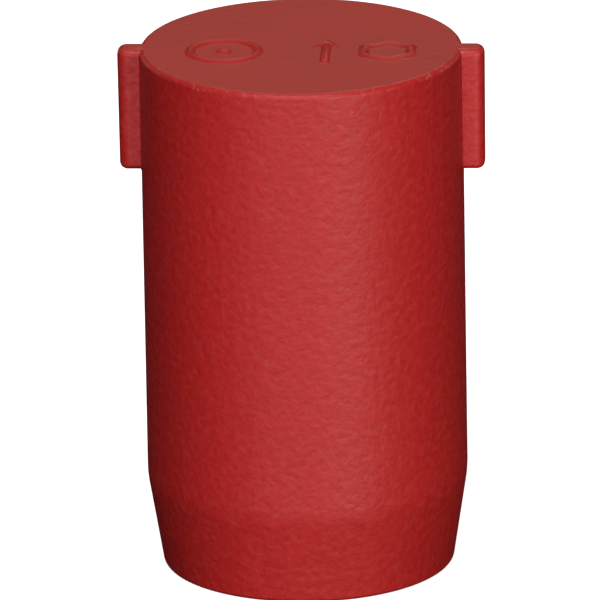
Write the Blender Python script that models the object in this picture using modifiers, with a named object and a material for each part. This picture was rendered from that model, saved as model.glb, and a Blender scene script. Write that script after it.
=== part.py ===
"""Hollow blanking plug of moulded polyethylene, 18 mm across, with two stop lugs at its closed head.

The plug stands on its open, tapered end. The head is up, the lugs point along X, and the origin is the
centre of the open rim's resting plane. Run with: blender --background --python part.py
"""

import math

import bmesh
import bpy

MM = 0.001

# Driving dimensions
PLUG_HEIGHT = 30.0 * MM
HEAD_DIAMETER = 18.0 * MM
SHOULDER_DIAMETER = 17.92 * MM
LEAD_IN_HEIGHT = 5.2 * MM
TIP_DIAMETER = 16.25 * MM
HEAD_THICKNESS = 2.0 * MM
MOUTH_DIAMETER = 13.8 * MM
CORE_DRAFT = math.radians(0.5)

LUG_WIDTH = 1.6 * MM
LUG_HEIGHT = 7.0 * MM
LUG_REACH = 1.24 * MM
LUG_DRAFT = math.radians(0.4)

MARK_RELIEF = 0.15 * MM
MARK_STROKE = 0.6 * MM

# Edge radii
HEAD_EDGE_RADIUS = 0.3 * MM
SHOULDER_RADIUS = 6.0 * MM
TIP_EDGE_RADIUS = 0.25 * MM
MOUTH_EDGE_RADIUS = 0.25 * MM
CORE_CORNER_RADIUS = 1.0 * MM
LUG_EDGE_RADIUS = 0.45 * MM

# How finely round stretches are divided
TURN_STEPS = 96
MARK_STEPS = 32
SINK = 0.4 * MM
MERGE = 0.00001

# Places that follow from the dimensions
HEAD_RADIUS = HEAD_DIAMETER / 2
SHOULDER_RADIUS_OUT = SHOULDER_DIAMETER / 2
TIP_RADIUS = TIP_DIAMETER / 2
MOUTH_RADIUS = MOUTH_DIAMETER / 2
CEILING = PLUG_HEIGHT - HEAD_THICKNESS
CORE_TOP_RADIUS = MOUTH_RADIUS - CEILING * math.tan(CORE_DRAFT)
MARK_LINE_Y = -0.11 * HEAD_RADIUS
RING_MARK_X = -0.47 * HEAD_RADIUS
ARROW_MARK_X = 0.16 * HEAD_RADIUS
HEXAGON_MARK_X = 0.54 * HEAD_RADIUS
RING_MARK_RADIUS = 2.2 * MM
RING_PIP_RADIUS = 0.5 * MM
ARROW_MARK_LENGTH = 4.4 * MM
ARROW_HEAD_WIDTH = 1.7 * MM
ARROW_BARB_SWEEP = 0.3 * MM
HEXAGON_MARK_RADIUS = 1.85 * MM


def clear_scene():
    """Remove every object, so that only the plug is left."""
    for old in list(bpy.data.objects):
        bpy.data.objects.remove(old)


def new_collection(name):
    """Make a collection in the scene."""
    made = bpy.data.collections.new(name)
    bpy.context.scene.collection.children.link(made)
    return made


def plastic(name, colour, roughness):
    """A Principled material for moulded polyethylene."""
    made = bpy.data.materials.new(name)
    made.use_nodes = True
    shader = made.node_tree.nodes["Principled BSDF"]
    shader.inputs["Base Color"].default_value = (*colour, 1.0)
    shader.inputs["Roughness"].default_value = roughness
    shader.inputs["Metallic"].default_value = 0.0
    return made


def arc(centre, radius, start, end, steps):
    """Points of an arc in the (across, up) plane, from one angle in degrees to another."""
    angles = (math.radians(start + (end - start) * step / steps) for step in range(steps + 1))
    return [(centre[0] + radius * math.cos(a), centre[1] + radius * math.sin(a)) for a in angles]


def rounded(corner, before, after, radius, steps):
    """Points that round a profile's corner with an arc touching the lines to its two neighbours."""
    back = (before[0] - corner[0], before[1] - corner[1])
    ahead = (after[0] - corner[0], after[1] - corner[1])
    back_length = math.hypot(*back)
    ahead_length = math.hypot(*ahead)
    back = (back[0] / back_length, back[1] / back_length)
    ahead = (ahead[0] / ahead_length, ahead[1] / ahead_length)
    half = math.acos(back[0] * ahead[0] + back[1] * ahead[1]) / 2
    middle = (back[0] + ahead[0], back[1] + ahead[1])
    reach = radius / math.sin(half) / math.hypot(*middle)
    centre = (corner[0] + middle[0] * reach, corner[1] + middle[1] * reach)
    tangent = radius / math.tan(half)
    first = (corner[0] + back[0] * tangent, corner[1] + back[1] * tangent)
    start = math.atan2(first[1] - centre[1], first[0] - centre[0])
    sweep = math.pi - 2 * half
    if back[0] * ahead[1] - back[1] * ahead[0] < 0:
        sweep = -sweep
    start, end = math.degrees(start), math.degrees(start - sweep)
    return arc(centre, radius, start, end, steps)


def wall_profile():
    """The plug's wall in section, from the head's centre down the outside and up the inside."""
    corners = [
        (0.0, PLUG_HEIGHT, 0.0, 0),
        (HEAD_RADIUS, PLUG_HEIGHT, HEAD_EDGE_RADIUS, 4),
        (SHOULDER_RADIUS_OUT, LEAD_IN_HEIGHT, SHOULDER_RADIUS, 4),
        (TIP_RADIUS, 0.0, TIP_EDGE_RADIUS, 4),
        (MOUTH_RADIUS, 0.0, MOUTH_EDGE_RADIUS, 2),
        (CORE_TOP_RADIUS, CEILING, CORE_CORNER_RADIUS, 4),
        (0.0, CEILING, 0.0, 0),
    ]
    points = []
    for index, (across, up, radius, steps) in enumerate(corners):
        if steps:
            before, after = corners[index - 1][:2], corners[index + 1][:2]
            points += rounded((across, up), before, after, radius, steps)
        else:
            points.append((across, up))
    return points


def line_mesh(name, points, closed):
    """A mesh of edges through points given as (across, up)."""
    edges = [(step, step + 1) for step in range(len(points) - 1)]
    if closed:
        edges.append((len(points) - 1, 0))
    mesh = bpy.data.meshes.new(name)
    mesh.from_pydata([(across, 0.0, up) for across, up in points], edges, [])
    return mesh


def turn(name, points, steps, closed=False):
    """An object turned round the Z axis from a profile, which runs down its outer side."""
    obj = bpy.data.objects.new(name, line_mesh(name, points, closed))
    screw = obj.modifiers.new("Turn", "SCREW")
    screw.steps = steps
    screw.render_steps = steps
    screw.use_merge_vertices = True
    screw.merge_threshold = MERGE
    screw.use_smooth_shade = True
    return obj


def bevel_edges(obj, width, segments):
    """Round every sharp edge of an object."""
    bevel = obj.modifiers.new("Rounded edges", "BEVEL")
    bevel.width = width
    bevel.segments = segments
    bevel.limit_method = "ANGLE"
    return bevel


def stop_lug(name, side):
    """One stop lug: a block sunk into the wall, its outer face drawn in towards its lower end."""
    mesh = bpy.data.meshes.new(name)
    shape = bmesh.new()
    bmesh.ops.create_cube(shape, size=1.0)
    inner = HEAD_RADIUS - SINK * 2
    outer = HEAD_RADIUS + LUG_REACH
    drawn_in = LUG_HEIGHT * math.tan(LUG_DRAFT)
    for corner in shape.verts:
        low = corner.co.z < 0
        corner.co.x = side * (outer - (drawn_in if low else 0.0) if corner.co.x > 0 else inner)
        corner.co.y *= LUG_WIDTH
        corner.co.z = PLUG_HEIGHT - (LUG_HEIGHT if low else 0.0)
    bmesh.ops.recalc_face_normals(shape, faces=shape.faces)
    shape.to_mesh(mesh)
    shape.free()
    obj = bpy.data.objects.new(name, mesh)
    bevel_edges(obj, LUG_EDGE_RADIUS, 3)
    return obj


def raised_outline(name, loops):
    """A flat outline with its holes, filled and given the mark's thickness."""
    curve = bpy.data.curves.new(name, "CURVE")
    curve.dimensions = "2D"
    curve.fill_mode = "BOTH"
    for loop in loops:
        spline = curve.splines.new("POLY")
        spline.points.add(len(loop) - 1)
        for point, (across, along) in zip(spline.points, loop):
            point.co = (across, along, 0.0, 1.0)
        spline.use_cyclic_u = True
    curve.extrude = (MARK_RELIEF + SINK) / 2
    return bpy.data.objects.new(name, curve)


def polygon(radius, corners, turned=0.0):
    """Corners of a regular polygon about the origin."""
    return arc((0.0, 0.0), radius, turned, turned + 360 * (1 - 1 / corners), corners - 1)


def mark_solid(name, loops, across):
    """A raised mark as a closed mesh, standing on the head at a distance from its centre."""
    flat = raised_outline(name + "_outline", loops)
    bpy.context.scene.collection.objects.link(flat)
    bpy.context.view_layer.update()
    seen = flat.evaluated_get(bpy.context.evaluated_depsgraph_get())
    mesh = bpy.data.meshes.new_from_object(seen)
    shape = bmesh.new()
    shape.from_mesh(mesh)
    bmesh.ops.remove_doubles(shape, verts=shape.verts, dist=MERGE)
    bmesh.ops.recalc_face_normals(shape, faces=shape.faces)
    shape.to_mesh(mesh)
    shape.free()
    bpy.data.objects.remove(flat)
    obj = bpy.data.objects.new(name, mesh)
    obj.location = (across, MARK_LINE_Y, PLUG_HEIGHT + (MARK_RELIEF - SINK) / 2)
    return obj


def arrow_loop():
    """The outline of an upright arrow, centred on the origin."""
    half = ARROW_MARK_LENGTH / 2
    stem = MARK_STROKE / 2
    wing = ARROW_HEAD_WIDTH / 2
    neck = half - wing * 1.5
    barb = neck - ARROW_BARB_SWEEP
    right = [(stem, -half), (stem, neck), (wing, barb), (0.0, half)]
    left = [(-across, along) for across, along in reversed(right[:-1])]
    return right + left


def raised_marks():
    """The mould's marks on the head: a ring with a pip, an arrow and a hexagon."""
    ring = [polygon(RING_MARK_RADIUS, MARK_STEPS), polygon(RING_MARK_RADIUS - MARK_STROKE, MARK_STEPS)]
    pip = [polygon(RING_PIP_RADIUS, MARK_STEPS // 2)]
    hexagon = [polygon(HEXAGON_MARK_RADIUS, 6, 30), polygon(HEXAGON_MARK_RADIUS - MARK_STROKE, 6, 30)]
    return [
        mark_solid("ring_mark", ring, RING_MARK_X),
        mark_solid("pip_mark", pip, RING_MARK_X),
        mark_solid("arrow_mark", [arrow_loop()], ARROW_MARK_X),
        mark_solid("hexagon_mark", hexagon, HEXAGON_MARK_X),
    ]


def join(body, helper, helpers):
    """Add a helper's shape to the body by a union, and hide the helper."""
    helpers.objects.link(helper)
    helper.hide_render = True
    helper.display_type = "WIRE"
    union = body.modifiers.new("Join " + helper.name, "BOOLEAN")
    union.operation = "UNION"
    union.solver = "EXACT"
    union.object = helper


def build():
    """Model the plug, which is one moulding."""
    clear_scene()
    plug = new_collection("blanking_plug")
    helpers = new_collection("helpers")
    body = turn("plug_body", wall_profile(), TURN_STEPS)
    plug.objects.link(body)
    body.data.materials.append(plastic("red_polyethylene", (0.47, 0.025, 0.028), 0.45))
    for name, side in (("lug_right", 1), ("lug_left", -1)):
        join(body, stop_lug(name, side), helpers)
    for mark in raised_marks():
        join(body, mark, helpers)


build()
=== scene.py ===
"""Blanking plug of moulded red polyethylene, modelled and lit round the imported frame."""

import math

import bmesh
import bpy
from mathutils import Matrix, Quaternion, Vector


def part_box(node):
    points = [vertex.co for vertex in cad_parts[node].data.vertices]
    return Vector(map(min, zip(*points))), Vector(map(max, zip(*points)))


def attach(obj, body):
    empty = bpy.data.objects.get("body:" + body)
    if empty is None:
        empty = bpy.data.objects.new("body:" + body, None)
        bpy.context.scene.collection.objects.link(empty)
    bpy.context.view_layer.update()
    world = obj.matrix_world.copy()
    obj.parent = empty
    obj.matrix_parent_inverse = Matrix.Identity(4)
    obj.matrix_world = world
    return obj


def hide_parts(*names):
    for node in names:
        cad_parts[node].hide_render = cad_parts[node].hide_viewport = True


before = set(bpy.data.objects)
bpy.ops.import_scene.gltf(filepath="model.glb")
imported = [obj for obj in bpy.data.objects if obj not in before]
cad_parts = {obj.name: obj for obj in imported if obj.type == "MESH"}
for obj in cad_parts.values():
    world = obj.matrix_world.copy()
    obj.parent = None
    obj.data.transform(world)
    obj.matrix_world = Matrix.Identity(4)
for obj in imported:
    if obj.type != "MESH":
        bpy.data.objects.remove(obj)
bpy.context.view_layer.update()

bl_info = {
    "name": "Moulded blanking plug",
    "version": (1, 0, 0),
    "blender": (4, 5, 0),
    "location": "View3D > Sidebar > Plug",
    "description": "Builds a hollow moulded blanking plug with stop lugs, and the stage that it stands on",
    "category": "Object",
}

MM = 0.001
PLUG_LOW, PLUG_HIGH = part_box("plug_body")
HEAD_LEVEL = 30 * MM

# A lug spans four of the barrel's sides, so its walls grow out of the barrel's own edges.
BARREL_SIDES = 140
LUG_SPAN = 4
MARK_SIDES = 96
CLOSE = 0.02 * MM
CUT_EXACTNESS = 0.00001 * MM

# How far each edge of the body is rounded to either side, in mm. On a square edge this is its radius.
# The shoulder's faces turn by only 9 degrees, so its round has a radius of about 6 mm.
HEAD_EDGE = 0.3
LUG_TOP_EDGE = 0.4
LUG_UNDERSIDE_EDGE = 0.35
LUG_SIDE_EDGE = 0.62
LUG_ROOT = 0.06
SHOULDER = 0.48
RIM_EDGE = 0.25
CORE_CORNER = 1.0
BODY_EDGE_STEPS = 6


def linear(colour):
    """An sRGB hex colour as linear red, green and blue."""
    channels = [int(colour[place:place + 2], 16) / 255 for place in (0, 2, 4)]
    return tuple(c / 12.92 if c <= 0.04045 else ((c + 0.055) / 1.055) ** 2.4 for c in channels)


class PlugSizes(bpy.types.PropertyGroup):
    """The plug's sizes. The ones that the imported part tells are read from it."""

    height: bpy.props.FloatProperty(
        name="Height", description="From the open rim to the head's face", default=HEAD_LEVEL,
        unit="LENGTH")
    head_diameter: bpy.props.FloatProperty(
        name="Head diameter", description="Across the closed head", unit="LENGTH",
        default=PLUG_HIGH.y - PLUG_LOW.y)
    shoulder_diameter: bpy.props.FloatProperty(
        name="Shoulder diameter", description="Where the lead-in starts", default=17.92 * MM, unit="LENGTH")
    lead_in: bpy.props.FloatProperty(
        name="Lead-in", description="Height of the tapered end", default=5.2 * MM, unit="LENGTH")
    tip_diameter: bpy.props.FloatProperty(
        name="Tip diameter", description="Outside the open rim", default=16.25 * MM, unit="LENGTH")
    mouth_diameter: bpy.props.FloatProperty(
        name="Mouth diameter", description="Inside the open rim", default=13.8 * MM, unit="LENGTH")
    head_thickness: bpy.props.FloatProperty(
        name="Head thickness", description="From the head's face to the hollow", default=2 * MM,
        unit="LENGTH")
    core_draft: bpy.props.FloatProperty(
        name="Core draft", description="Slope of the hollow's wall", default=math.radians(0.5),
        subtype="ANGLE")
    lug_width: bpy.props.FloatProperty(
        name="Lug width", description="Across one stop lug", default=1.6 * MM, unit="LENGTH")
    lug_height: bpy.props.FloatProperty(
        name="Lug height", description="From the head's face to a lug's underside", default=7 * MM,
        unit="LENGTH")
    lug_draft: bpy.props.FloatProperty(
        name="Lug draft", description="Slope of a lug's outer face", default=math.radians(0.4),
        subtype="ANGLE")
    mark_relief: bpy.props.FloatProperty(
        name="Mark relief", description="Height of the raised marks", unit="LENGTH",
        default=PLUG_HIGH.z - HEAD_LEVEL)
    mark_stroke: bpy.props.FloatProperty(
        name="Mark stroke", description="Width of the raised marks' lines", default=0.6 * MM, unit="LENGTH")


class PlugColours(bpy.types.PropertyGroup):
    """The plug's colours, and the stage's."""

    plastic: bpy.props.FloatVectorProperty(
        name="Plastic", description="The pigmented polyethylene", subtype="COLOR", default=linear("c42321"))
    # The pale colour is also mixed into the barrel as flecks of painted sparkle.
    pale: bpy.props.FloatVectorProperty(
        name="Pale", description="Whitened nicks and dust", subtype="COLOR", default=linear("eab9b0"))
    floor: bpy.props.FloatVectorProperty(
        name="Floor", description="The stage's opal sheet", subtype="COLOR", default=linear("f6f6f6"))


# Shaping


def start(add, **settings):
    """Add a primitive with nothing else selected, and open it for editing."""
    bpy.ops.object.select_all(action="DESELECT")
    add(**settings)
    bpy.ops.object.transform_apply(location=True, rotation=True, scale=True)
    bpy.ops.object.mode_set(mode="EDIT")
    return bpy.context.object


def middle(element):
    """The middle of a vertex, an edge or a face."""
    if isinstance(element, bmesh.types.BMFace):
        return element.calc_center_median()
    if isinstance(element, bmesh.types.BMEdge):
        return (element.verts[0].co + element.verts[1].co) / 2
    return element.co


def pick(obj, kind, test):
    """Select only the vertices, edges or faces that pass a test of themselves and their middle."""
    bpy.ops.mesh.select_mode(type=kind)
    bpy.ops.mesh.select_all(action="DESELECT")
    shape = bmesh.from_edit_mesh(obj.data)
    elements = {"VERT": shape.verts, "EDGE": shape.edges, "FACE": shape.faces}[kind]
    for element in elements:
        if test(element, middle(element)):
            element.select_set(True)
    bmesh.update_edit_mesh(obj.data)


def near(value, target):
    """Whether two lengths are the same, to within a modelling tolerance."""
    return abs(value - target) < CLOSE


def across(point):
    """A point's distance from the plug's axis."""
    return math.hypot(point.x, point.y)


def is_level(edge):
    """Whether an edge lies flat."""
    return near(edge.verts[0].co.z, edge.verts[1].co.z)


def move(x=0, y=0, z=0):
    """Move what is selected."""
    bpy.ops.transform.translate(value=(x, y, z))


def resize(x=1, y=1, z=1):
    """Scale what is selected about its own middle."""
    bpy.ops.transform.resize(value=(x, y, z))


def extrude(x=0, y=0, z=0):
    """Pull what is selected out of the shape."""
    bpy.ops.mesh.extrude_region_move(TRANSFORM_OT_translate={"value": (x, y, z)})


def cut_level(height):
    """Cut a ring of edges round everything at a height."""
    bpy.ops.mesh.select_all(action="SELECT")
    bpy.ops.mesh.bisect(plane_co=(0, 0, height), plane_no=(0, 0, 1), threshold=CUT_EXACTNESS)


def apply_modifier(obj, kind, **settings):
    """Leave edit mode, and add and apply one modifier."""
    if obj.mode == "EDIT":
        bpy.ops.object.mode_set(mode="OBJECT")
    modifier = obj.modifiers.new(kind.title(), kind)
    for name, value in settings.items():
        setattr(modifier, name, value)
    bpy.ops.object.modifier_apply(modifier=modifier.name)


def round_edges(obj, rules, segments, fullness=0.5):
    """Give the edges that pass each test their own reach in mm, and round them all at once."""
    for reach, rule in rules:
        pick(obj, "EDGE", rule)
        bpy.ops.transform.edge_bevelweight(value=reach)
    apply_modifier(
        obj, "BEVEL", limit_method="WEIGHT", width=1 * MM, segments=segments, profile=fullness,
        use_clamp_overlap=False)


def shape_barrel(sizes):
    """The barrel: a drum narrowed to its shoulder and tip, and hollowed from its open end."""
    plug = start(
        bpy.ops.mesh.primitive_cylinder_add, vertices=BARREL_SIDES, radius=sizes.head_diameter / 2,
        depth=sizes.height, end_fill_type="NGON", location=(0, 0, sizes.height / 2))
    pick(plug, "VERT", lambda vertex, at: near(at.z, 0))
    narrowing = sizes.shoulder_diameter / sizes.head_diameter
    resize(narrowing, narrowing)
    cut_level(sizes.lead_in)
    pick(plug, "VERT", lambda vertex, at: near(at.z, 0))
    narrowing = sizes.tip_diameter / sizes.shoulder_diameter
    resize(narrowing, narrowing)
    cut_level(sizes.height - sizes.lug_height)
    pick(plug, "FACE", lambda face, at: near(at.z, 0))
    bpy.ops.mesh.inset(thickness=(sizes.tip_diameter - sizes.mouth_diameter) / 2)
    ceiling = sizes.height - sizes.head_thickness
    extrude(z=ceiling)
    narrowing = 1 - 2 * ceiling * math.tan(sizes.core_draft) / sizes.mouth_diameter
    resize(narrowing, narrowing)
    return plug


def past_core(sizes):
    """A distance from the axis that tells the barrel's outer edges from the hollow's."""
    return sizes.mouth_diameter / 2 + 0.5 * MM


def at_outer_end(at):
    """Whether a place is on a lug's outer face."""
    return abs(at.x) > PLUG_HIGH.x - 0.1 * MM


def pull_out_lug(plug, sizes, side):
    """Pull one lug out of the barrel's own faces, and flatten its outside."""
    underside, outer = sizes.height - sizes.lug_height, side * PLUG_HIGH.x
    half_span = math.sin(LUG_SPAN * math.pi / BARREL_SIDES) * sizes.head_diameter / 2

    def on_lug(at):
        return at.x * side > past_core(sizes) and abs(at.y) < half_span

    def end_face(face, at):
        return on_lug(at) and near(abs(face.normal.z), 1) and near(at.z, underside)

    def outer_face(face, at):
        return on_lug(at) and abs(face.normal.x) > 0.9 and at_outer_end(at)

    pick(plug, "FACE", lambda face, at: on_lug(at) and abs(face.normal.z) < 0.5 and at.z > underside)
    # Any reach does here, because the flattened face is then moved to its place.
    extrude(x=side * 2 * MM)
    resize(0, sizes.lug_width / 2 / half_span)
    pulled = next(vertex.co.x for vertex in bmesh.from_edit_mesh(plug.data).verts if vertex.select)
    move(x=outer - pulled)
    pick(plug, "VERT", lambda vertex, at: near(at.x, outer) and near(at.z, underside))
    move(x=-side * sizes.lug_height * math.tan(sizes.lug_draft))
    for flat in (end_face, outer_face):
        pick(plug, "FACE", flat)
        bpy.ops.mesh.dissolve_faces(use_verts=True)


def edge_rules(sizes):
    """How far each of the body's edges is rounded, with the test that finds it. No edge passes two."""
    top, underside = sizes.height, sizes.height - sizes.lug_height
    ceiling = sizes.height - sizes.head_thickness
    head, inside_lug = sizes.head_diameter / 2, sizes.lug_width / 2

    def level(edge, at, height):
        return is_level(edge) and near(at.z, height)

    def outer_level(edge, at, height):
        return level(edge, at, height) and across(at) > past_core(sizes)

    def at_root(edge):
        return all(across(vertex.co) < head + CLOSE for vertex in edge.verts)

    def upright_root(edge, at):
        return (
            not is_level(edge) and underside < at.z < top and near(across(at), head)
            and abs(abs(at.y) - inside_lug) < 0.05 * MM)

    def underside_root(edge, at):
        return level(edge, at, underside) and at_root(edge) and abs(at.y) < inside_lug

    return (
        (HEAD_EDGE, lambda edge, at: level(edge, at, top) and at_root(edge)),
        (LUG_TOP_EDGE, lambda edge, at: level(edge, at, top) and not at_root(edge)),
        (LUG_UNDERSIDE_EDGE, lambda edge, at: level(edge, at, underside) and not at_root(edge)),
        (LUG_SIDE_EDGE, lambda edge, at: not is_level(edge) and at_outer_end(at)),
        (LUG_ROOT, upright_root),
        (LUG_ROOT, underside_root),
        (SHOULDER, lambda edge, at: outer_level(edge, at, sizes.lead_in)),
        (RIM_EDGE, lambda edge, at: level(edge, at, 0)),
        (CORE_CORNER, lambda edge, at: level(edge, at, ceiling)),
    )


# Marks


# The marks stand in one row, a little in front of the head's middle, and reach below its face.
MARK_ROW = -0.99 * MM
MARK_SINK = 0.15 * MM

# A mark's side is rounded with this reach in mm and this fullness, and is then flattened.
MARK_SLOPE = 0.285
MARK_FULLNESS = 0.3
MARK_EDGE_STEPS = 5
MARK_FLATTENING = 0.5

RING_MIDDLE = -4.23 * MM
RING_RADIUS = 2.2 * MM
PIP_RADIUS = 0.5 * MM
ARROW_MIDDLE = 1.44 * MM
ARROW_TAIL = -3.19 * MM
ARROW_NECK = 0.3 * MM
ARROW_BARBS = -0.365 * MM
ARROW_WIDTH = 1.7 * MM
ARROW_POINT = 1.575 * MM
ARROW_SWEEP = 0.464 * MM
HEXAGON_MIDDLE = 4.86 * MM
HEXAGON_RADIUS = 1.85 * MM


def mark_place(sizes):
    """How deep a mark's blank is, and the height of its middle, before round_top() flattens it."""
    depth = (sizes.mark_relief + MARK_SINK) / MARK_FLATTENING
    return depth, sizes.height + sizes.mark_relief - depth / 2


def start_mark(sizes, x, y, vertices, radius):
    """A drum that stands through the head's face, ready to be shaped into a mark."""
    depth, level = mark_place(sizes)
    return start(
        bpy.ops.mesh.primitive_cylinder_add, vertices=vertices, radius=radius, depth=depth,
        end_fill_type="NGON", location=(x, y, level))


def round_top(mark, sizes):
    """Round a mark off from its walls to its top, and flatten it, so that its sides slope gently."""
    top = sizes.height + sizes.mark_relief

    def at_top_of_wall(edge, at):
        return near(at.z, top) and sum(face.normal.z > 0.9 for face in edge.link_faces) == 1

    round_edges(mark, [(MARK_SLOPE, at_top_of_wall)], MARK_EDGE_STEPS, MARK_FULLNESS)
    bpy.ops.object.mode_set(mode="EDIT")
    bpy.ops.mesh.select_all(action="SELECT")
    bpy.ops.transform.resize(value=(1, 1, MARK_FLATTENING), center_override=(0, 0, top))
    bpy.ops.object.mode_set(mode="OBJECT")
    return mark


def outline_mark(sizes, x, vertices, radius):
    """A line closed round a middle, as a ring or a polygon."""
    mark = start_mark(sizes, x, MARK_ROW, vertices, radius)
    pick(mark, "FACE", lambda face, at: abs(face.normal.z) > 0.9)
    bpy.ops.mesh.inset(thickness=sizes.mark_stroke)
    bpy.ops.mesh.bridge_edge_loops()
    return round_top(mark, sizes)


def pip_mark(sizes):
    """The dot in the ring, whose side leans in towards its top."""
    mark = start_mark(sizes, RING_MIDDLE, MARK_ROW, MARK_SIDES // 2, PIP_RADIUS)
    pick(mark, "VERT", lambda vertex, at: at.z > sizes.height)
    resize(0.9, 0.9)
    return round_top(mark, sizes)


def arrow_stem(sizes):
    """The arrow's stem, a little narrower at its tail, which ends inside the arrow's head."""
    depth, level = mark_place(sizes)
    stem = start(
        bpy.ops.mesh.primitive_cube_add, size=1, scale=(sizes.mark_stroke, ARROW_NECK - ARROW_TAIL, depth),
        location=(ARROW_MIDDLE, (ARROW_NECK + ARROW_TAIL) / 2, level))
    pick(stem, "VERT", lambda vertex, at: near(at.y, ARROW_TAIL))
    resize(0.94)
    return round_top(stem, sizes)


def arrow_head(sizes):
    """The arrow's head: a four-sided drum with its tip drawn out and its back pushed in to a notch."""
    half = ARROW_WIDTH / 2
    head = start_mark(sizes, ARROW_MIDDLE, ARROW_BARBS, 4, half)
    pick(head, "VERT", lambda vertex, at: near(at.y, ARROW_BARBS + half))
    move(y=ARROW_POINT - half)
    pick(head, "VERT", lambda vertex, at: near(at.y, ARROW_BARBS - half))
    move(y=half + ARROW_SWEEP)
    return round_top(head, sizes)


class PLUG_OT_mould_body(bpy.types.Operator):
    """Model the barrel, its hollow and its two stop lugs as one body"""

    bl_idname = "plug.mould_body"
    bl_label = "Mould body"

    def execute(self, context):
        sizes = context.scene.plug_sizes
        plug = shape_barrel(sizes)
        plug.name = plug.data.name = "plug"
        for side in (1, -1):
            pull_out_lug(plug, sizes, side)
        pick(plug, "FACE", lambda face, at: near(at.z, sizes.height))
        bpy.ops.mesh.dissolve_faces(use_verts=True)
        round_edges(plug, edge_rules(sizes), BODY_EDGE_STEPS)
        return {"FINISHED"}


class PLUG_OT_raise_marks(bpy.types.Operator):
    """Raise the ring, the arrow and the hexagon on the head's face"""

    bl_idname = "plug.raise_marks"
    bl_label = "Raise marks"

    def execute(self, context):
        sizes = context.scene.plug_sizes
        plug = bpy.data.objects["plug"]
        marks = [
            outline_mark(sizes, RING_MIDDLE, MARK_SIDES, RING_RADIUS),
            pip_mark(sizes),
            arrow_stem(sizes),
            arrow_head(sizes),
            outline_mark(sizes, HEXAGON_MIDDLE, 6, HEXAGON_RADIUS),
        ]
        bpy.context.view_layer.objects.active = plug
        for mark in marks:
            apply_modifier(plug, "BOOLEAN", operation="UNION", solver="EXACT", object=mark)
            bpy.data.objects.remove(mark)
        bpy.ops.object.select_all(action="DESELECT")
        plug.select_set(True)
        bpy.ops.object.shade_smooth_by_angle(angle=math.radians(35))
        apply_modifier(plug, "WEIGHTED_NORMAL", keep_sharp=True)
        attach(plug, "root")
        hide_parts("plug_body")
        return {"FINISHED"}


# Finishes


# How far inside the head's outer corner its rounded edge is most worn.
RIM_INSET = 0.07 * MM


def add_node(material, kind, inputs=None, **settings):
    """Add a node with its settings, and set or link its inputs."""
    tree = material.node_tree
    node = tree.nodes.new(kind)
    for name, value in settings.items():
        setattr(node, name, value)
    for name, value in (inputs or {}).items():
        if isinstance(value, bpy.types.NodeSocket):
            tree.links.new(value, node.inputs[name])
        else:
            node.inputs[name].default_value = value
    return node


def new_material(name, settings):
    """A material with its shader's own values set, and the plug's coordinates in metres."""
    material = bpy.data.materials.new(name)
    material.use_nodes = True
    shader = material.node_tree.nodes["Principled BSDF"]
    for socket, value in settings.items():
        shader.inputs[socket].default_value = value
    place = add_node(material, "ShaderNodeTexCoord").outputs["Object"]
    return material, shader, place


def pattern(material, place, size, detail=2.0, roughness=0.5):
    """Noise whose blotches are about this size."""
    return add_node(
        material, "ShaderNodeTexNoise",
        {"Vector": place, "Scale": 1 / size, "Detail": detail, "Roughness": roughness}).outputs["Fac"]


def spread(material, value, low, high, to_low=0.0, to_high=1.0):
    """Stretch a value from one range onto another, and hold it there."""
    return add_node(
        material, "ShaderNodeMapRange",
        {"Value": value, "From Min": low, "From Max": high, "To Min": to_low, "To Max": to_high},
    ).outputs["Result"]


def blend_colour(material, amount, first, second):
    """Mix two colours, each a value or a link."""
    mix = add_node(material, "ShaderNodeMix", {0: amount, 6: first, 7: second}, data_type="RGBA")
    return mix.outputs[2]


def calculate(material, operation, *values):
    """One sum on up to three values, each a number or a link."""
    return add_node(material, "ShaderNodeMath", dict(enumerate(values)), operation=operation).outputs[0]


def shade(colour, factor):
    """A colour made lighter or darker, ready for a socket."""
    return (*(channel * factor for channel in colour), 1.0)


def connect(material, shader, links):
    """Link values to the shader's sockets."""
    for socket, value in links.items():
        material.node_tree.links.new(value, shader.inputs[socket])


def finish_surface(material, shader, base, relief, depth, roughness):
    """Give the shader its colour, its roughness, and a relief of this depth."""
    bump = add_node(material, "ShaderNodeBump", {"Height": relief, "Strength": 1.0, "Distance": depth})
    connect(material, shader, {"Base Color": base, "Normal": bump.outputs[0], "Roughness": roughness})


def eroded_finish(colours, sizes):
    """Low-density polyethylene from a spark-eroded cavity: an even satin skin, finely mottled, with pale
    flecks of painted sparkle.

    The eroded grain is about 0.05 mm on the mould. It is drawn at 0.45 mm, so that it shows.
    """
    plastic, pale = colours.plastic, (*colours.pale, 1)
    material, shader, place = new_material("spark-eroded polyethylene", {"Roughness": 0.5, "IOR": 1.51})
    grain = pattern(material, place, 0.45 * MM)
    painted_sparkle = pattern(material, place, 0.36 * MM, 1.5)
    blotch = pattern(material, place, 1.6 * MM)
    flow = pattern(material, place, 6 * MM)
    base = blend_colour(
        material, spread(material, grain, 0.25, 0.75), shade(plastic, 0.92), shade(plastic, 1.07))
    # Pale flecks mixed into the colour here are painted sparkle, standing in for glints off the eroded
    # grain.
    base = blend_colour(material, spread(material, painted_sparkle, 0.48, 0.8, 0, 0.04), base, pale)
    base = blend_colour(material, spread(material, blotch, 0.3, 0.7, 0, 0.3), base, shade(plastic, 1.06))
    base = blend_colour(material, spread(material, flow, 0.35, 0.65, 0, 0.25), base, shade(plastic, 0.93))
    base = add_wear(material, place, base, pale, sizes)
    finish_surface(material, shader, base, grain, 0.045 * MM, spread(material, grain, 0.3, 0.7, 0.44, 0.56))
    return material


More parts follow.
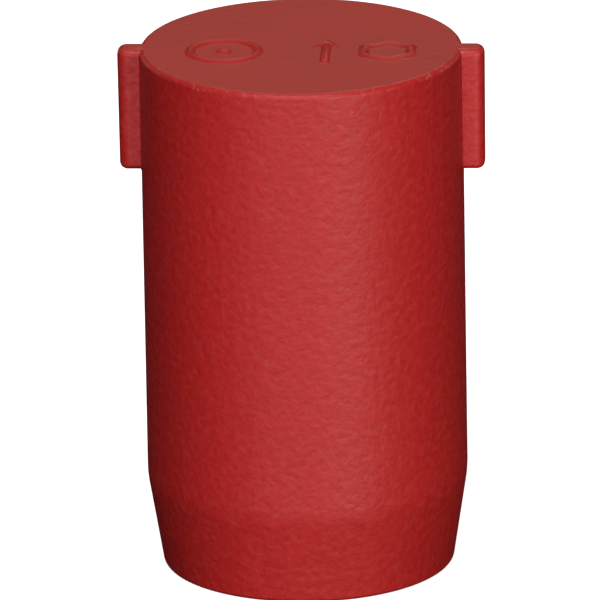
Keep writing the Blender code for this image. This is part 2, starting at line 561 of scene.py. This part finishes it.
def add_wear(material, place, base, pale, sizes):
    """Pale nicks along the head's rim, and a few specks of dust."""
    flat = add_node(
        material, "ShaderNodeVectorMath", {0: place, 1: (1, 1, 0)}, operation="MULTIPLY").outputs[0]
    out = add_node(material, "ShaderNodeVectorMath", {0: flat}, operation="LENGTH").outputs["Value"]
    up = add_node(material, "ShaderNodeSeparateXYZ", {0: place}).outputs["Z"]
    past = calculate(material, "SUBTRACT", out, sizes.head_diameter / 2 - RIM_INSET)
    below = calculate(material, "SUBTRACT", up, sizes.height - RIM_INSET)
    gap = add_node(material, "ShaderNodeCombineXYZ", {0: past, 1: below}).outputs[0]
    from_rim = add_node(material, "ShaderNodeVectorMath", {0: gap}, operation="LENGTH").outputs["Value"]
    rim = spread(material, from_rim, 0.1 * MM, 0.3 * MM, 1, 0)
    nick = spread(material, pattern(material, place, 0.5 * MM, 4.0, 0.7), 0.57, 0.7, 0, 0.35)
    base = blend_colour(material, calculate(material, "MULTIPLY", rim, nick), base, pale)
    speck = add_node(material, "ShaderNodeTexVoronoi", {"Vector": place, "Scale": 1 / (3.4 * MM)})
    chance = add_node(material, "ShaderNodeSeparateColor", {0: speck.outputs["Color"]}).outputs[0]
    chosen = calculate(material, "GREATER_THAN", chance, 0.75)
    dot = spread(material, speck.outputs["Distance"], 0.015, 0.045, 0.3, 0)
    return blend_colour(material, calculate(material, "MULTIPLY", dot, chosen), base, pale)


def head_finish(colours, sizes):
    """Low-density polyethylene from a ground mould plate: smoother than the barrel, with a soft haze.

    The grinding marks are under 0.1 mm apart. They are drawn as a ripple of 0.7 mm, so that it shows.
    """
    plastic, pale = colours.plastic, (*colours.pale, 1)
    material, shader, place = new_material("plate-moulded polyethylene", {"Roughness": 0.5, "IOR": 1.51})
    ripple = pattern(material, place, 0.7 * MM)
    flow = pattern(material, place, 4 * MM, 3.0)
    base = blend_colour(
        material, spread(material, flow, 0.3, 0.7), shade(plastic, 0.96), shade(plastic, 1.03))
    base = add_wear(material, place, base, pale, sizes)
    finish_surface(material, shader, base, ripple, 0.02 * MM, spread(material, flow, 0.3, 0.7, 0.46, 0.54))
    return material


def core_finish(colours, sizes):
    """Low-density polyethylene off a polished core: glossier, with faint lines along the draw.

    The lines that polishing leaves are about 0.02 mm apart. They are drawn at 0.3 mm, so that they show.
    """
    plastic = colours.plastic
    material, shader, place = new_material("core-polished polyethylene", {"Roughness": 0.3, "IOR": 1.51})
    along_draw = add_node(
        material, "ShaderNodeMapping", {"Vector": place, "Scale": (1, 1, 0.03)}).outputs["Vector"]
    lines = pattern(material, along_draw, 0.3 * MM)
    base = blend_colour(
        material, spread(material, lines, 0.3, 0.7), shade(plastic, 0.95), shade(plastic, 1.0))
    finish_surface(material, shader, base, lines, 0.006 * MM, spread(material, lines, 0.3, 0.7, 0.26, 0.36))
    return material


class PLUG_OT_finish_plastic(bpy.types.Operator):
    """Give the barrel, the head's face and the hollow the finish that each left its mould with"""

    bl_idname = "plug.finish_plastic"
    bl_label = "Finish plastic"

    def execute(self, context):
        colours, sizes = context.scene.plug_colours, context.scene.plug_sizes
        plug = bpy.data.objects["plug"]
        bpy.ops.object.select_all(action="DESELECT")
        plug.select_set(True)
        context.view_layer.objects.active = plug
        for finish in (eroded_finish, head_finish, core_finish):
            plug.data.materials.append(finish(colours, sizes))
        bpy.ops.object.mode_set(mode="EDIT")
        inside = sizes.mouth_diameter / 2 + CLOSE / 2
        within_head = sizes.height - sizes.head_thickness / 2
        areas = (
            (1, lambda face, at: at.z > sizes.height - CLOSE / 2),
            (2, lambda face, at: across(at) < inside and 0.2 * MM < at.z < within_head),
        )
        for index, area in areas:
            pick(plug, "FACE", area)
            plug.active_material_index = index
            bpy.ops.object.material_slot_assign()
        bpy.ops.object.mode_set(mode="OBJECT")
        return {"FINISHED"}


# Stage


MIDDLE = Vector((0, 0, HEAD_LEVEL / 2))
LIGHT_DISTANCE = 1.2
LIGHT_SIZE = 0.45

# The camera's azimuth and elevation are in degrees. It is far off, and its long lens takes in 33.5 mm.
CAMERA_PLACE = (2.9, 18.4)
CAMERA_DISTANCE = 1
CAMERA_LENS = 1073.4
CAMERA_ROLL = math.radians(-0.963)
CAMERA_OFFSET = Vector((-0.282 * MM, 0.098 * MM, 0))

# Each soft box: its name, azimuth, elevation, power in watts, and colour.
SOFT_BOXES = (
    ("front left box", -25, 2, 1.9, "f9f0ff"),
    ("front box", -5, 2, 2.25, "f9f6ff"),
    ("front right box", 32, 2, 5.9, "fffff8"),
    ("overhead box", -5, 60, 7.3, "ffffff"),
    ("back box", 180, 45, 2.1, "fffae1"),
    ("left edge box", -140, 10, 0.5, "ffffff"),
    ("right edge box", 140, 10, 0.6, "ffffff"),
)


def toward(azimuth, elevation):
    """A direction from the plug: azimuth 0 is in front, and grows to the right."""
    turn, lift = math.radians(azimuth), math.radians(elevation)
    return Vector((math.sin(turn) * math.cos(lift), -math.cos(turn) * math.cos(lift), math.sin(lift)))


def add_light(name, azimuth, elevation, power, colour):
    """A square soft box that faces the plug."""
    away = toward(azimuth, elevation)
    bpy.ops.object.select_all(action="DESELECT")
    bpy.ops.object.light_add(type="AREA", location=MIDDLE + away * LIGHT_DISTANCE)
    light = bpy.context.object
    light.name = light.data.name = name
    light.rotation_mode = "QUATERNION"
    light.rotation_quaternion = (-away).to_track_quat("-Z", "Y")
    light.data.size = LIGHT_SIZE
    light.data.energy = power
    light.data.color = linear(colour)
    light.visible_camera = False


def add_camera():
    """The camera, rolled a little and moved off the plug's middle."""
    away = toward(*CAMERA_PLACE)
    bpy.ops.object.select_all(action="DESELECT")
    bpy.ops.object.camera_add()
    camera = bpy.context.object
    camera.rotation_mode = "QUATERNION"
    camera.rotation_quaternion = (-away).to_track_quat("-Z", "Y") @ Quaternion((0, 0, 1), CAMERA_ROLL)
    off_middle = camera.rotation_quaternion @ CAMERA_OFFSET
    camera.location = MIDDLE + away * CAMERA_DISTANCE + off_middle
    camera.data.sensor_width = 36
    camera.data.lens = CAMERA_LENS
    camera.data.clip_start, camera.data.clip_end = 0.1, 10
    bpy.context.scene.camera = camera


class PLUG_OT_set_stage(bpy.types.Operator):
    """Lay the floor, and set the lights, the backdrop's colour and the camera"""

    bl_idname = "plug.set_stage"
    bl_label = "Set stage"

    def execute(self, context):
        colours = context.scene.plug_colours
        bpy.ops.object.select_all(action="DESELECT")
        bpy.ops.mesh.primitive_plane_add(size=4)
        floor = context.object
        floor.name = floor.data.name = "stage_floor"
        opal, shader, place = new_material("opal floor sheet", {"Roughness": 0.9, "Emission Strength": 0.95})
        grain = pattern(opal, place, 2 * MM)
        tone = blend_colour(opal, grain, shade(colours.floor, 0.995), shade(colours.floor, 1.0))
        connect(opal, shader, {"Base Color": tone, "Emission Color": tone})
        floor.data.materials.append(opal)
        floor.visible_diffuse = floor.visible_glossy = floor.visible_shadow = False
        for box in SOFT_BOXES:
            add_light(*box)
        add_camera()
        world = bpy.data.worlds.new("pale surroundings")
        context.scene.world = world
        world.use_nodes = True
        world.node_tree.nodes["Background"].inputs["Color"].default_value = (1, 1, 1, 1)
        world.cycles_visibility.diffuse = world.cycles_visibility.glossy = False
        context.scene.view_settings.view_transform = "Standard"
        return {"FINISHED"}


class PLUG_PT_panel(bpy.types.Panel):
    """The plug's steps and sizes, in the sidebar"""

    bl_idname = "PLUG_PT_panel"
    bl_label = "Blanking plug"
    bl_space_type = "VIEW_3D"
    bl_region_type = "UI"
    bl_category = "Plug"

    def draw(self, context):
        for step in STEPS:
            self.layout.operator(step.bl_idname)
        for group in (context.scene.plug_sizes, context.scene.plug_colours):
            for name in group.__annotations__:
                self.layout.prop(group, name)


STEPS = (PLUG_OT_mould_body, PLUG_OT_raise_marks, PLUG_OT_finish_plastic, PLUG_OT_set_stage)
CLASSES = (PlugSizes, PlugColours, *STEPS, PLUG_PT_panel)


def register():
    """Make the add-on's classes and its settings known to Blender."""
    for each in CLASSES:
        bpy.utils.register_class(each)
    bpy.types.Scene.plug_sizes = bpy.props.PointerProperty(type=PlugSizes)
    bpy.types.Scene.plug_colours = bpy.props.PointerProperty(type=PlugColours)


def unregister():
    """Take them away again."""
    del bpy.types.Scene.plug_colours
    del bpy.types.Scene.plug_sizes
    for each in reversed(CLASSES):
        bpy.utils.unregister_class(each)


def main():
    """Build the plug and its stage."""
    register()
    bpy.ops.plug.mould_body()
    bpy.ops.plug.raise_marks()
    bpy.ops.plug.finish_plastic()
    bpy.ops.plug.set_stage()


if __name__ == "__main__":
    main()
